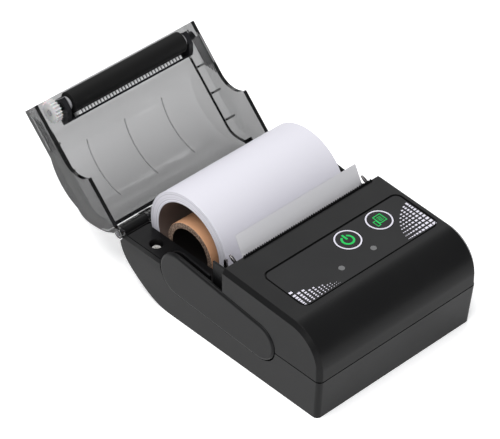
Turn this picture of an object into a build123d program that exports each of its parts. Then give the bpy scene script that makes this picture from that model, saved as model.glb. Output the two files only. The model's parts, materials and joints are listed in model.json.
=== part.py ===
from build123d import *
from math import acos, atan2, cos, degrees, radians, sin, sqrt
import os

# Portable receipt printer, lid swung open, roll loaded. Millimetres.
# +X is the right side seen from the front, +Y the rear, +Z up. The origin is on the
# underside, midway between the side walls.

# Outer shells
body_width = 75.8
base_bottom_width = 74.4
front_y = -51.3
front_bottom_y = -49.7
split_z = 17.2
housing_wall = 1.8
corner_radius = 2.0
seam_gap = 0.38
top_front_radius = 14.5
top_front_z = 36.5
tear_edge_y = -3.8
top_rear_z = 38.0
edge_bevel = 1.5
rear_wall_z = 21.0
rear_edge_y = 49.2
ledge_z = 21.2

# Hinge and lid
hinge_y = 49.9
hinge_z = 21.3
pin_radius = 0.8
hinge_clearance = 0.06
knuckle_radius = 2.0
lid_open_angle = 134
lid_front_y = -3.2
lid_top_z = 38.0
lid_wall = 1.5
lid_skin = 1.3
dome_half_width = 34.0
dome_sweep = 5.5
dome_clearance = 1.3

# Paper
paper_centre_x = 2.4
paper_width = 57.2
roll_y = 26.0
roll_z = 25.1
roll_radius = 19.7
roll_bore_radius = 15.6
core_radius = 11.4
core_bore_radius = 8.9
core_y = 25.5
core_z = 21.2
paper_thickness = 0.15

# Paper bay
trough_clearance = 0.5
trough_wall = 0.9
bay_side_clearance = 0.35

# Release buttons
button_front_y = -21.9
button_front_z = 18.1
button_front_radius = 7.6
button_rear_y = 18.6
button_rear_z = 21.2
button_rear_radius = 9.0
button_gap = 0.38
button_bulge = 0.5
button_thickness = 1.5
button_travel = 1.0
guide_post_radius = 1.2
running_clearance = 0.06

# Print mechanism
platen_y = 1.3
platen_z = 31.5
platen_radius = 4.0
platen_length = 53.4
shaft_radius = 1.25
bushing_radius = 1.6
side_plate_offset = 31.5
plate_thickness = 1.0
head_half_length = 25.0
head_rear_y = -3.5
head_pivot_y = -5.2
head_pivot_z = 20.0
tear_left = -28.2
tear_right = 33.0
tear_thickness = 0.7
tear_pitch = 1.05
tear_depth = 0.75
gear_module = 0.4
platen_teeth = 20
idler_teeth = 20
transfer_teeth = 24
pinion_teeth = 12
mesh_allowance = 0.12
gear_width = 2.6
motor_y = -16.0
motor_z = 18.0
motor_radius = 6.0
motor_length = 14.0

# Keypad
panel_left = -29.4
panel_right = 34.8
panel_rear_y = -14.4
panel_length = 21.0
panel_depth = 0.45
overlay_thickness = 0.3
panel_radius = 2.8
panel_gap = 0.3
key_radius = 5.0
key_gap = 0.2
key_travel = 0.4
power_key_at = (5.0, -20.7)
feed_key_at = (20.3, -20.5)
light_radius = 1.15
lights_at = ((-6.6, -29.5), (8.7, -29.4))
key_depth = 2.2
key_lift = 0.45
stem_shift = 0.35
board_top_z = 28.0
stem_end_z = board_top_z + 2.8 + key_travel + 0.1
board_y = -30.0
board_width = 56.0
board_length = 31.0
board_thickness = 1.6

# Power and fixings
battery_x = 2.0
battery_y = -35.0
battery_width = 58.0
cell_radius = 5.9
battery_floor_z = 2.6
door_width = 60.0
door_length = 24.0
door_gap = 0.3
screw_head_radius = 1.7
screw_shank_radius = 0.8
case_screw_dx = 66.0
case_screw_dy = 42.0
ledge_screw_y = 36.8
ledge_screw_inset = 6.3
counterbore_radius = 2.6
port_y = -16.0
port_z = 4.5
port_width = 9.6
port_height = 4.4

# Small places that the pieces share
ramp_low_y = 10.1
ramp_low_z = 12.2
ramp_high_y = 0.65
ramp_high_z = 23.8
ledge_front_y = 5.5
ledge_rear_y = 47.0
rail_outer = 35.2
rail_wall = 0.8
guide_posts_at = ((10.0, 17.0), (19.0, 17.6))
tear_foot_z = 34.9
mechanism_floor_z = 11.0
cross_wall_y = -9.4
post_radius = 0.9
lid_edge_z = 30.4
lid_low_z = 21.5
lid_knuckle_near = 21.0
lid_knuckle_far = 25.0
base_knuckle_near = 25.3
base_knuckle_far = 36.1
bracket_half = 30.0
lip_z = 33.4
lip_y = 7.0

half = body_width / 2
top_front_y = front_y + top_front_radius
hinge_axis = Axis((0, hinge_y, hinge_z), (1, 0, 0))
top_slope = degrees(atan2(top_rear_z - top_front_z, tear_edge_y - top_front_y))
paper_half = paper_width / 2
bay_left = paper_centre_x - paper_half - bay_side_clearance
bay_right = paper_centre_x + paper_half + bay_side_clearance
trough_radius = roll_radius + trough_clearance
plate_left = paper_centre_x - side_plate_offset
plate_right = paper_centre_x + side_plate_offset
gear_x = plate_left - plate_thickness / 2 - 0.7 - gear_width
ledge_screw_x = -half + ledge_screw_inset
# Sketches on this plane have the printer's Y to the right and Z up.
side_plane = Plane.YZ


def top_height(y):
    """Height of the sloped top above a place along Y."""
    return top_rear_z - (tear_edge_y - y) * sin(radians(top_slope)) / cos(radians(top_slope))


def top_plane(x, y, drop=0.0):
    """Plane that lies on the sloped top, or below it by a drop."""
    normal = Vector(0, -sin(radians(top_slope)), cos(radians(top_slope)))
    origin = Vector(x, y, top_height(y)) - normal * drop
    return Plane(origin=origin, x_dir=(1, 0, 0), z_dir=normal)


def opened(piece):
    """Swing a lid piece from its closed place to the open rest."""
    return piece.rotate(hinge_axis, -lid_open_angle)


def prism(outline_face, start_x, end_x):
    """Straight piece along X from an outline on the side plane, kept apart until added."""
    moved = Plane(origin=(start_x, 0, 0), x_dir=(0, 1, 0), z_dir=(1, 0, 0))
    return extrude(moved * outline_face, amount=end_x - start_x, mode=Mode.PRIVATE)


def rod(start_x, end_x, y, z, radius):
    """Round bar along X, kept apart until added."""
    seat = Plane(origin=(start_x, y, z), x_dir=(0, 1, 0), z_dir=(1, 0, 0))
    from_end = (Align.CENTER, Align.CENTER, Align.MIN)
    return seat * Cylinder(radius, end_x - start_x, align=from_end, mode=Mode.PRIVATE)


def block(x0, x1, y0, y1, z0, z1):
    """Plain block between two corners, kept apart until added."""
    middle = Pos((x0 + x1) / 2, (y0 + y1) / 2, (z0 + z1) / 2)
    return middle * Box(x1 - x0, y1 - y0, z1 - z0, mode=Mode.PRIVATE)


def button_outline(growth=0.0):
    """Long rounded pad outline: the hull of a smaller front and a larger rear circle."""
    with BuildSketch(mode=Mode.PRIVATE) as outline:
        with Locations((button_front_y, button_front_z)):
            Circle(button_front_radius + growth)
        with Locations((button_rear_y, button_rear_z)):
            Circle(button_rear_radius + growth)
        make_hull()
    return outline.sketch


def button_well(growth=0.0):
    """The pad's place cut through both side walls, open above behind the tear edge."""
    cutter = prism(button_outline(growth), -half - 2, half + 2)
    inner = block(-half + housing_wall + 0.5, half - housing_wall - 0.5, -60, 60, -5, 60)
    return cutter - inner


def plan_block(growth, low_z, high_z):
    """Drafted block with rounded upright corners that trims a shell's plan."""
    rise = split_z
    with BuildPart(mode=Mode.PRIVATE) as plan:
        for z, width, front in (
            (0, base_bottom_width, front_bottom_y),
            (rise, body_width, front_y),
        ):
            with BuildSketch(Plane.XY.offset(z)):
                with Locations((0, (front - growth + 70) / 2)):
                    RectangleRounded(width + 2 * growth, 70 - front + growth, corner_radius + growth)
        loft(ruled=True)
        with BuildSketch(Plane.XY.offset(rise)):
            with Locations((0, (front_y - growth + 70) / 2)):
                RectangleRounded(body_width + 2 * growth, 70 - front_y + growth, corner_radius + growth)
        extrude(amount=60 - rise)
    return plan.part & block(-60, 60, -80, 80, low_z, high_z)


def base_profile(inset=0.0):
    """Side outline of the lower housing with its rounded-up rear."""
    with BuildSketch(mode=Mode.PRIVATE) as outline:
        with BuildLine():
            low = (24, inset)
            knee = (38.8 - inset * 0.45, 5.4 + inset * 0.89)
            rise = (45.5 - inset * 0.75, 11.3 + inset * 0.66)
            high = (rear_edge_y - inset, rear_wall_z)
            Spline(low, knee, rise, high, tangents=((1, 0), (0.12, 1)))
            Polyline(high, (high[0], rear_wall_z + 5), (-60, rear_wall_z + 5), (-60, inset), low)
        make_face()
    return outline.sketch


def make_lower_housing():
    """Tub with drafted walls; its side walls step up to the ledge behind the buttons."""
    with BuildPart() as lower_housing:
        add(prism(base_profile(), -half, half) & plan_block(0, 0, rear_wall_z))
        add(
            prism(base_profile(housing_wall), -half, half)
            & plan_block(-housing_wall, housing_wall, 60),
            mode=Mode.SUBTRACT,
        )
        front_top = block(-60, 60, -60, button_rear_y, split_z, 60)
        add(front_top, mode=Mode.SUBTRACT)
        add(button_well(button_gap), mode=Mode.SUBTRACT)
        # scoop that the lid's hinge ears turn in
        add(rod(-60, 60, hinge_y, hinge_z, knuckle_radius + 0.5), mode=Mode.SUBTRACT)
        for side in (-1, 1):
            low, high = sorted((side * base_knuckle_near, side * base_knuckle_far))
            add(rod(low, high, hinge_y, hinge_z, knuckle_radius))
            add(block(low, high, rear_edge_y - housing_wall, hinge_y, hinge_z - 4.5, hinge_z))
        add(rod(-60, 60, hinge_y, hinge_z, pin_radius), mode=Mode.SUBTRACT)
        with Locations((battery_x, battery_y, 0)):
            Box(door_width + 2 * door_gap, door_length + 2 * door_gap, 3 * housing_wall, mode=Mode.SUBTRACT)
        with Locations((0, 0, 0)):
            with GridLocations(case_screw_dx, case_screw_dy, 2, 2):
                Cylinder(screw_head_radius + 0.3, 2 * 1.2, mode=Mode.SUBTRACT)
                Cylinder(screw_shank_radius + 0.1, 3 * housing_wall, mode=Mode.SUBTRACT)
        port_x = half - housing_wall - 1
        cut = block(port_x, half + 2, port_y - port_width / 2, port_y + port_width / 2, port_z, port_z + port_height)
        add(cut, mode=Mode.SUBTRACT)
    return lower_housing.part


def top_profile(inset=0.0):
    """Side outline of the upper housing: sloped top rolled into the front face."""
    with BuildSketch(mode=Mode.PRIVATE) as outline:
        with BuildLine():
            rear = (tear_edge_y, top_rear_z - inset)
            brow = (top_front_y, top_front_z - inset)
            radius = top_front_radius - inset
            nose = (front_y + inset, top_front_z - inset - radius)
            Line(rear, brow)
            RadiusArc(brow, nose, -radius)
            Polyline(nose, (front_y + inset, 0), (tear_edge_y, 0), rear)
        make_face()
    return outline.sketch


def make_upper_housing():
    """Front cover: a shell open below and behind, with the keypad recess in its top."""
    with BuildPart() as bevelled_cover:
        add(prism(top_profile(), -half, half))
        sides = [
            edge
            for edge in bevelled_cover.edges()
            if edge.bounding_box().size.X < 0.1
            and edge.center().Z > 1
            and edge.center().Y < tear_edge_y - 0.5
        ]
        chamfer(sides, edge_bevel)
    bevelled = bevelled_cover.part
    with BuildPart() as upper_housing:
        add(bevelled & plan_block(0, split_z + seam_gap, 60))
        inner = prism(top_profile(housing_wall), -half + housing_wall, half - housing_wall)
        add(inner & block(-60, 60, -60, 0, -1, 60), mode=Mode.SUBTRACT)
        add(button_well(button_gap), mode=Mode.SUBTRACT)
        # seat of the tear bar along the top's rear edge
        add(
            block(tear_left - 0.1, tear_right + 0.1, tear_edge_y - tear_thickness - 0.1, 0, 30, 60),
            mode=Mode.SUBTRACT,
        )
        middle = (panel_left + panel_right) / 2
        with BuildSketch(top_plane(middle, panel_rear_y - panel_length / 2, panel_depth)):
            RectangleRounded(
                panel_right - panel_left + 2 * panel_gap,
                panel_length + 2 * panel_gap,
                panel_radius + panel_gap,
            )
        extrude(amount=5, mode=Mode.SUBTRACT)
        for place in (power_key_at, feed_key_at):
            with BuildSketch(top_plane(*place)):
                Circle(key_radius + key_gap)
            extrude(amount=8, both=True, mode=Mode.SUBTRACT)
        for place in lights_at:
            with BuildSketch(top_plane(*place)):
                Circle(light_radius + 0.1)
            extrude(amount=8, both=True, mode=Mode.SUBTRACT)
    return upper_housing.part


def make_keypad_overlay():
    """Thin film in the recess, with clear holes for the two keys and the two lights."""
    middle = (panel_left + panel_right) / 2
    seat = top_plane(middle, panel_rear_y - panel_length / 2, panel_depth)
    with BuildPart() as overlay:
        with BuildSketch(seat):
            RectangleRounded(panel_right - panel_left, panel_length, panel_radius)
        extrude(amount=overlay_thickness)
        for place in (power_key_at, feed_key_at):
            with BuildSketch(top_plane(*place)):
                Circle(key_radius + key_gap)
            extrude(amount=3, both=True, mode=Mode.SUBTRACT)
        for place in lights_at:
            with BuildSketch(top_plane(*place)):
                Circle(light_radius + 0.1)
            extrude(amount=3, both=True, mode=Mode.SUBTRACT)
    return overlay.part


def make_key(place):
    """Round key cap flush with the film, with a retaining flange under the top wall."""
    cap_depth = panel_depth - overlay_thickness
    with BuildPart() as key:
        with BuildSketch(top_plane(*place, cap_depth)):
            Circle(key_radius)
        extrude(amount=-key_depth)
        with BuildSketch(top_plane(*place, housing_wall + key_lift)):
            Circle(key_radius + 0.8)
        extrude(amount=-0.8)
        with BuildSketch(top_plane(*place, cap_depth + key_depth)):
            Circle(1.4)
        extrude(amount=-(top_height(place[1]) - cap_depth - key_depth - stem_end_z))
    return key.part


def make_led_pipes():
    """Two clear pins that carry the status lights up to the film."""
    with BuildPart() as pipes:
        for place in lights_at:
            with BuildSketch(top_plane(*place, panel_depth - overlay_thickness)):
                Circle(light_radius)
            extrude(amount=-(top_height(place[1]) - board_top_z - 1.2))
    return pipes.part


def make_key_switches():
    """Tact switches on the board, one under each key stem."""
    with BuildPart() as switches:
        for place in (power_key_at, feed_key_at):
            with Locations((place[0], place[1] + stem_shift, board_top_z + 1.0)):
                Box(6, 6, 2.0)
            with Locations((place[0], place[1] + stem_shift, board_top_z + 2.4)):
                Cylinder(1.6, 0.8)
    return switches.part


def make_main_board():
    """Control board under the keypad, on four pillars' height above the battery."""
    with BuildPart() as board:
        with Locations((paper_centre_x, board_y, board_top_z - board_thickness / 2)):
            Box(board_width, board_length, board_thickness)
    return board.part


def make_board_components():
    """Chips, an electrolytic capacitor and plugs on both faces of the board."""
    under = board_top_z - board_thickness
    with BuildPart() as parts:
        for x, y, w, d, h in ((-16, -38, 12, 12, 1.4), (18, -38, 7, 7, 1.2), (4, -40, 5, 4, 1.5)):
            with Locations((x, y, board_top_z + h / 2)):
                Box(w, d, h)
        for x, y, w, d, h in ((-20, -36, 8, 5, 3.5), (-4, -36, 10, 5, 3.5), (20, -30, 6, 6, 3.0)):
            with Locations((x, y, under - h / 2)):
                Box(w, d, h)
    return parts.part


def make_radio_module():
    """Small wireless module, a board with a metal can on it."""
    with BuildPart() as module:
        with Locations((-19, board_y + 7, board_top_z + 0.5)):
            Box(16, 11, 1.0)
        with Locations((-17, board_y + 7, board_top_z + 1.9)):
            Box(10, 9, 1.8)
    return module.part


def make_battery_pack():
    """Wrapped pair of round cells, laid side by side across the front."""
    left = battery_x - battery_width / 2
    centre_z = battery_floor_z + cell_radius
    with BuildPart() as pack:
        for shift in (-cell_radius, cell_radius):
            add(rod(left, left + battery_width, battery_y + shift, centre_z, cell_radius))
        with Locations((battery_x, battery_y, centre_z)):
            Box(battery_width, 2 * cell_radius, 1.6 * cell_radius)
    return pack.part


def make_battery_door():
    """Plain cover let into the underside below the battery."""
    with BuildPart() as door:
        with Locations((battery_x, battery_y, 0.2 + 0.7)):
            Box(door_width, door_length, 1.4)
        with Locations((battery_x, battery_y - door_length / 2 + 3, 0.2)):
            Box(14, 2, 0.8, mode=Mode.SUBTRACT)
        with Locations((battery_x, battery_y, 1.6 + 0.35)):
            Box(door_width - 6, door_length - 6, 0.7)
    return door.part


def make_battery_contacts():
    """Two sprung contact blades at the right end of the pack."""
    end_x = battery_x + battery_width / 2
    with BuildPart() as contacts:
        for shift in (-4, 4):
            with Locations((end_x + 0.6, battery_y + shift, battery_floor_z + 6)):
                Box(0.4, 4, 9)
            with Locations((end_x + 1.2, battery_y + shift, battery_floor_z + 2)):
                Box(1.6, 4, 0.5)
    return contacts.part


def make_usb_port():
    """Charging and data socket let into the right wall."""
    depth = 6.0
    with BuildPart() as port:
        with Locations((half - 0.4 - depth / 2, port_y, port_z + port_height / 2)):
            Box(depth, port_width - 0.8, port_height - 0.8)
        with Locations((half - 0.4 - 2.5, port_y, port_z + port_height / 2)):
            Box(5.1, port_width - 2.0, port_height - 2.0, mode=Mode.SUBTRACT)
        with Locations((half - 0.4 - 3.5, port_y, port_z + port_height / 2)):
            Box(4.6, port_width - 4.5, 0.7)
    return port.part


def make_case_screws():
    """Four countersunk-in screws that hold the two shells together from below."""
    with BuildPart() as screws:
        with Locations((0, 0, 0.35)):
            with GridLocations(case_screw_dx, case_screw_dy, 2, 2):
                Cylinder(screw_head_radius, 0.8, align=(Align.CENTER, Align.CENTER, Align.MIN))
                Cylinder(screw_shank_radius, 3.5, align=(Align.CENTER, Align.CENTER, Align.MIN))
        with Locations((0, 0, 0.35)):
            with GridLocations(case_screw_dx, case_screw_dy, 2, 2):
                Box(1.6, 0.4, 0.8, mode=Mode.SUBTRACT)
                Box(0.4, 1.6, 0.8, mode=Mode.SUBTRACT)
    return screws.part


def trough_outline():
    """Ring sector that carries the roll, from its lower front round to the rear."""
    with BuildSketch(mode=Mode.PRIVATE) as outline:
        with Locations((roll_y, roll_z)):
            Circle(trough_radius + trough_wall)
            Circle(trough_radius, mode=Mode.SUBTRACT)
        with Locations((roll_y, ledge_z + 30)):
            Rectangle(200, 60, mode=Mode.SUBTRACT)
        with Locations((ramp_low_y - 50, 0)):
            Rectangle(100, 200, mode=Mode.SUBTRACT)
    return outline.sketch


def end_wall_outline():
    """Filled end of the trough below the ledge."""
    with BuildSketch(mode=Mode.PRIVATE) as outline:
        with Locations((roll_y, roll_z)):
            Circle(trough_radius + trough_wall)
        with Locations((roll_y, ledge_z + 30)):
            Rectangle(200, 60, mode=Mode.SUBTRACT)
    return outline.sketch


def ramp_outline():
    """Sloped guide that leads the paper from the trough up to the print head."""
    with BuildSketch(mode=Mode.PRIVATE) as outline:
        with BuildLine():
            Polyline(
                (ramp_low_y + 0.3, ramp_low_z - 1.2),
                (ramp_low_y, ramp_low_z),
                (ramp_high_y, ramp_high_z),
                (ramp_high_y - 0.8, ramp_high_z - 0.6),
                (ramp_low_y - 0.8, ramp_low_z - 1.0),
                close=True,
            )
        make_face()
    return outline.sketch


def make_bay_frame():
    """Dark insert: paper trough with end walls, side ledges and the rails for the pads."""
    left = bay_left - trough_wall
    right = bay_right + trough_wall
    ledge_edge = half - housing_wall - 0.1
    rail_inner = rail_outer - rail_wall
    with BuildPart() as bay:
        add(prism(trough_outline(), left, right))
        add(prism(end_wall_outline(), left, bay_left))
        add(prism(end_wall_outline(), bay_right, right))
        add(prism(ramp_outline(), left, right))
        pad_rear_y = button_rear_y + button_rear_radius + 0.6
        for front, rear, edge in (
            (ledge_front_y, pad_rear_y, rail_outer),
            (pad_rear_y, ledge_rear_y, ledge_edge),
        ):
            add(block(-edge, bay_left, front, rear, ledge_z - 1.2, ledge_z))
            add(block(bay_right, edge, front, rear, ledge_z - 1.2, ledge_z))
        for side in (-1, 1):
            low, high = sorted((side * rail_inner, side * rail_outer))
            lip = prism(button_outline(-0.8), low, high)
            skirt = block(low, high, ledge_front_y, button_rear_y + 6, 4, ledge_z)
            add(lip & block(-60, 60, ledge_front_y, 60, 0, 60))
            add(skirt)
            for y, z in guide_posts_at:
                add(
                    rod(low - 0.1, high + 0.1, y, z, guide_post_radius + running_clearance),
                    mode=Mode.SUBTRACT,
                )
        for x in (-14, 19):
            add(block(x - 1, x + 1, 15, 23.5, housing_wall, 7.5))
        hanging = (Align.CENTER, Align.CENTER, Align.MAX)
        with Locations((ledge_screw_x, ledge_screw_y, ledge_z - 1.2)):
            Cylinder(counterbore_radius + 0.3, 3.4, align=hanging)
        with Locations((ledge_screw_x, ledge_screw_y, ledge_z)):
            Cylinder(counterbore_radius, 3.4, align=hanging, mode=Mode.SUBTRACT)
            Cylinder(screw_shank_radius + 0.1, 12, align=hanging, mode=Mode.SUBTRACT)
        add(rod(bay_left, bay_right, roll_y, roll_z, trough_radius), mode=Mode.SUBTRACT)
    return bay.part


def make_bay_screw():
    """Cross-headed screw sunk in the left ledge's counterbore."""
    head_seat = ledge_z - 3.4
    with BuildPart() as screw:
        with Locations((ledge_screw_x, ledge_screw_y, head_seat)):
            Cylinder(screw_head_radius, 1.3, align=(Align.CENTER, Align.CENTER, Align.MIN))
            Cylinder(screw_shank_radius, 6, align=(Align.CENTER, Align.CENTER, Align.MAX))
        with Locations((ledge_screw_x, ledge_screw_y, head_seat + 1.3)):
            Box(2.0, 0.45, 1.2, mode=Mode.SUBTRACT)
            Box(0.45, 2.0, 1.2, mode=Mode.SUBTRACT)
    return screw.part


def make_tear_bar():
    """Strip with a row of sharp teeth along its top edge."""
    count = round((tear_right - tear_left) / tear_pitch)
    pitch = (tear_right - tear_left) / count
    root_z = top_rear_z + 0.1
    points = [(tear_left, tear_foot_z), (tear_left, root_z)]
    for tooth in range(count):
        points.append((tear_left + (tooth + 0.5) * pitch, root_z + tear_depth))
        points.append((tear_left + (tooth + 1) * pitch, root_z))
    points.append((tear_right, tear_foot_z))
    with BuildPart() as bar:
        with BuildSketch(Plane(origin=(0, tear_edge_y, 0), x_dir=(1, 0, 0), z_dir=(0, -1, 0))):
            with BuildLine():
                Polyline(*points, close=True)
            make_face()
        extrude(amount=tear_thickness)
    return bar.part


def side_plate_outline():
    """Side plate with an open slot for the platen bushing and a curved catch horn."""
    slot = bushing_radius + 0.35
    with BuildSketch(mode=Mode.PRIVATE) as outline:
        with BuildLine():
            Polyline(
                (platen_y - slot, platen_z),
                (platen_y - slot, platen_z + 2.8),
                (platen_y - 0.7, platen_z + 3.3),
                (platen_y + 0.6, platen_z + 4.7),
            )
            ThreePointArc(
                (platen_y + 0.6, platen_z + 4.7),
                (platen_y - 1.9, platen_z + 3.9),
                (platen_y - 3.6, platen_z + 1.2),
            )
            Polyline(
                (platen_y - 3.6, platen_z + 1.2),
                (platen_y - 3.9, platen_z - 5),
                (-9, 25.6),
                (motor_y - motor_radius - 0.5, 25.6),
                (motor_y - motor_radius - 0.5, mechanism_floor_z),
                (platen_y + 1.5, mechanism_floor_z),
                (platen_y + slot + 1.2, 26),
                (platen_y + slot + 1.2, platen_z + 1.2),
                (platen_y + slot, platen_z + 1.6),
                (platen_y + slot, platen_z),
            )
            ThreePointArc(
                (platen_y + slot, platen_z),
                (platen_y, platen_z - slot),
                (platen_y - slot, platen_z),
            )
        make_face()
    return outline.sketch


def make_mechanism_frame():
    """Two side plates tied by a cross wall and a foot on the floor of the base."""
    half_plate = plate_thickness / 2
    with BuildPart() as frame:
        for x in (plate_left, plate_right):
            add(prism(side_plate_outline(), x - half_plate, x + half_plate))
        add(block(plate_left, plate_right, cross_wall_y, cross_wall_y + 0.8, mechanism_floor_z, 30))
        for x in (plate_left + 4, plate_right - 4):
            add(block(x - 2, x + 2, cross_wall_y, cross_wall_y + 5, housing_wall, mechanism_floor_z + 1))
        add(
            rod(plate_left - 1, plate_left + 1, motor_y, motor_z, shaft_radius + 0.3),
            mode=Mode.SUBTRACT,
        )
        for x in (plate_left, plate_right):
            add(
                rod(x - 1, x + 1, head_pivot_y, head_pivot_z, pin_radius),
                mode=Mode.SUBTRACT,
            )
        for y, z in (transfer_at, idler_at):
            add(rod(plate_left - 1, plate_left + 1, y, z, post_radius), mode=Mode.SUBTRACT)
    return frame.part


def make_print_head_sink():
    """Metal bar behind the heating strip, hung on its pivot rod."""
    low_x = paper_centre_x - head_half_length
    high_x = paper_centre_x + head_half_length
    with BuildPart() as sink:
        add(block(low_x, high_x, -6.0, head_rear_y - 0.8, head_pivot_z - 1.6, platen_z + 2.6))
        with BuildSketch(Plane(origin=(low_x, head_pivot_y, head_pivot_z), x_dir=(0, 1, 0), z_dir=(1, 0, 0))):
            Circle(pin_radius + 0.7)
        extrude(amount=high_x - low_x)
        add(
            rod(low_x - 1, high_x + 1, head_pivot_y, head_pivot_z, pin_radius + running_clearance),
            mode=Mode.SUBTRACT,
        )
    return sink.part


def make_print_head_strip():
    """Ceramic strip with the row of heating dots as a fine raised glaze line."""
    low_x = paper_centre_x - head_half_length
    high_x = paper_centre_x + head_half_length
    with BuildPart() as strip:
        add(block(low_x, high_x, head_rear_y - 0.8, head_rear_y - 0.15, platen_z - 5, platen_z + 2.4))
        add(block(low_x + 1, high_x - 1, head_rear_y - 0.2, head_rear_y, platen_z - 0.4, platen_z + 0.4))
    return strip.part


def make_head_springs():
    """Two pressure springs between the cross wall and the head."""
    with BuildPart() as springs:
        for x in (paper_centre_x - 14, paper_centre_x + 14):
            with BuildSketch(Plane(origin=(x, cross_wall_y + 0.8, 28), x_dir=(1, 0, 0), z_dir=(0, 1, 0))):
                Circle(1.5)
                Circle(0.9, mode=Mode.SUBTRACT)
            extrude(amount=-6.0 - 0.45 - (cross_wall_y + 0.8))
    return springs.part


def gear_outline(teeth, phase_angle):
    """Spur gear outline with straight-flanked teeth, tooth one at the phase angle."""
    pitch_radius = gear_module * teeth / 2
    tip_radius = pitch_radius + 0.85 * gear_module
    root_radius = pitch_radius - 1.15 * gear_module
    step = 360 / teeth
    points = []
    for tooth in range(teeth):
        middle = phase_angle + tooth * step
        for share, radius in ((-0.29, root_radius), (-0.1, tip_radius), (0.1, tip_radius), (0.29, root_radius)):
            angle = radians(middle + share * step)
            points.append((radius * cos(angle), radius * sin(angle)))
    with BuildSketch(mode=Mode.PRIVATE) as outline:
        with BuildLine():
            Polyline(*points, close=True)
        make_face()
    return outline.sketch


def gear(teeth, phase_angle, y, z, bore):
    """Spur gear on the left of the mechanism, with a thin hub and a bore."""
    seat = Plane(origin=(gear_x, y, z), x_dir=(0, 1, 0), z_dir=(1, 0, 0))
    with BuildPart(mode=Mode.PRIVATE) as wheel:
        with BuildSketch(seat):
            add(gear_outline(teeth, phase_angle))
            Circle(bore, mode=Mode.SUBTRACT)
        extrude(amount=gear_width)
    return wheel.part


def facing(from_place, to_place):
    """Direction from one gear centre to another, in degrees."""
    return degrees(atan2(to_place[1] - from_place[1], to_place[0] - from_place[0]))


def meshed_phase(driver_teeth, driver_phase, direction, driven_teeth):
    """Phase that puts the driven gear's gaps on the driver's teeth."""
    driver_step = 360 / driver_teeth
    driven_step = 360 / driven_teeth
    share = ((driver_phase - direction) / driver_step) % 1
    return direction + 180 + (0.5 - share) * driven_step


def pitch_distance(first_teeth, second_teeth):
    """Centre distance of a meshed pair, with a little backlash."""
    return gear_module * (first_teeth + second_teeth) / 2 + mesh_allowance


def crossing(first, first_reach, second, second_reach):
    """Lower point at given distances from two places."""
    gap_y = second[0] - first[0]
    gap_z = second[1] - first[1]
    gap = sqrt(gap_y**2 + gap_z**2)
    along = (first_reach**2 - second_reach**2 + gap**2) / (2 * gap)
    across = sqrt(first_reach**2 - along**2)
    return (
        first[0] + (along * gap_y - across * gap_z) / gap,
        first[1] + (along * gap_z + across * gap_y) / gap,
    )


def make_motor():
    """Round stepper motor bolted inside the left side plate."""
    start = plate_left + plate_thickness / 2
    with BuildPart() as motor:
        add(rod(start, start + motor_length, motor_y, motor_z, motor_radius))
        add(rod(start + motor_length, start + motor_length + 0.8, motor_y, motor_z, motor_radius - 2))
        add(
            rod(start - 1, start + motor_length - 1, motor_y, motor_z, shaft_radius - 0.25 + running_clearance),
            mode=Mode.SUBTRACT,
        )
    return motor.part


def make_motor_pinion():
    """Steel rotor shaft with the drive pinion on its outer end."""
    shaft = shaft_radius - 0.25
    with BuildPart() as pinion:
        add(gear(pinion_teeth, pinion_phase, motor_y, motor_z, 0.5))
        add(rod(gear_x, plate_left + motor_length - 1, motor_y, motor_z, shaft))
    return pinion.part


def make_gear_posts():
    """Fixed pins that carry the transfer gear and the idler."""
    with BuildPart() as posts:
        for y, z in (transfer_at, idler_at):
            add(rod(gear_x - 0.5, plate_left + plate_thickness / 2, y, z, post_radius))
    return posts.part


def make_gear_cover():
    """Thin plate outside the gears, with a foot back to the mechanism."""
    inner = gear_x - 1.5
    with BuildPart() as cover:
        add(block(inner - 0.8, inner, motor_y - 4, 3.8, mechanism_floor_z - 2, 25.6))
        add(block(inner - 0.8, inner, -9, 3.8, mechanism_floor_z - 2, platen_z + 4.2))
        add(block(inner - 0.8, plate_left, motor_y - 4, 3.8, mechanism_floor_z - 2, mechanism_floor_z - 0.1))
    return cover.part


def make_paper_sensor():
    """Reflective paper sensor let in behind the guide ramp."""
    with BuildPart() as sensor:
        add(block(-4, 2, -2.7, -0.9, 21.2, 24.2))
    return sensor.part


def make_head_flex():
    """Flat flexible lead from the cross wall to the board."""
    with BuildPart() as flex:
        with BuildSketch(Plane(origin=(6, 0, 0), x_dir=(0, 1, 0), z_dir=(1, 0, 0))):
            with BuildLine():
                FilletPolyline(
                    (cross_wall_y - 0.3, 14.5),
                    (cross_wall_y - 0.3, 21),
                    (cross_wall_y - 7.5, 23.5),
                    (cross_wall_y - 7.5, board_top_z - board_thickness),
                    radius=1.2,
                )
            trace(line_width=0.2)
        extrude(amount=18)
    return flex.part


def lid_outline(inset=0.0):
    """Closed side outline of the lid's shoulder, walls and S-shaped lower edge."""
    top = lid_top_z - inset
    edge = button_rear_radius + 0.4
    with BuildSketch(mode=Mode.PRIVATE) as outline:
        with BuildLine():
            front_end = lid_front_y - (1 if inset else 0)
            front = (front_end, top)
            crown = (36.5, top)
            Polyline((button_rear_y, button_rear_z + edge), (front_end, lid_edge_z), front, crown)
            Spline(
                crown,
                (43.8 - 0.7 * inset, 33.8 - 0.7 * inset),
                (47.2 - 0.9 * inset, 29.0 - 0.4 * inset),
                (rear_edge_y - inset, 22.7),
                tangents=((1, 0), (0.25, -1)),
            )
            Polyline(
                (rear_edge_y - inset, 22.7),
                (rear_edge_y - inset, lid_low_z),
                (button_rear_y + edge, lid_low_z),
                (button_rear_y + edge, button_rear_z),
            )
            ThreePointArc(
                (button_rear_y + edge, button_rear_z),
                (button_rear_y + edge * cos(radians(45)), button_rear_z + edge * sin(radians(45))),
                (button_rear_y, button_rear_z + edge),
            )
        make_face()
    return outline.sketch


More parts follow.
